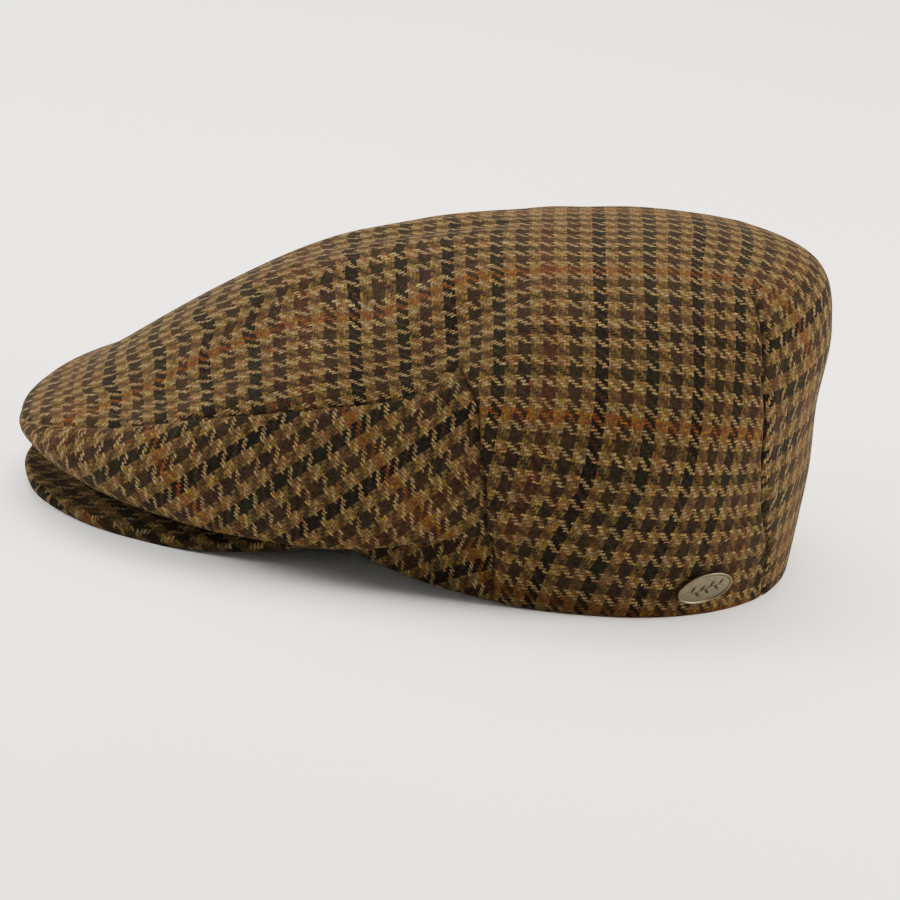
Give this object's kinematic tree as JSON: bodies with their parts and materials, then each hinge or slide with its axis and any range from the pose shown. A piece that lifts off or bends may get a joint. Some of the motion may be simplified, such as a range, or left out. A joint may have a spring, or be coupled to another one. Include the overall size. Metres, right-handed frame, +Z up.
{
  "type": "flat cap",
  "caption": "Tweed flat cap with a sewn front band overhanging a curved peak, and a small oval metal badge.",
  "frame": {"origin": "middle of the cap's length and width, on the surface that it rests on", "axes": "+X to the back of the head, -X along the peak, -Y to the wearer's left, +Z up"},
  "size_m": [0.2692, 0.188, 0.1105],
  "materials": {
    "wool tweed": "matte",
    "wool tweed on the peak": "matte",
    "antique nickel": "satin",
    "plain steel": "satin"
  },
  "bodies": {
    "root": {"crown": "wool tweed", "front_band": "wool tweed", "peak": "wool tweed on the peak", "badge": "antique nickel", "badge_post": "plain steel"}
  },
  "joints": []
}
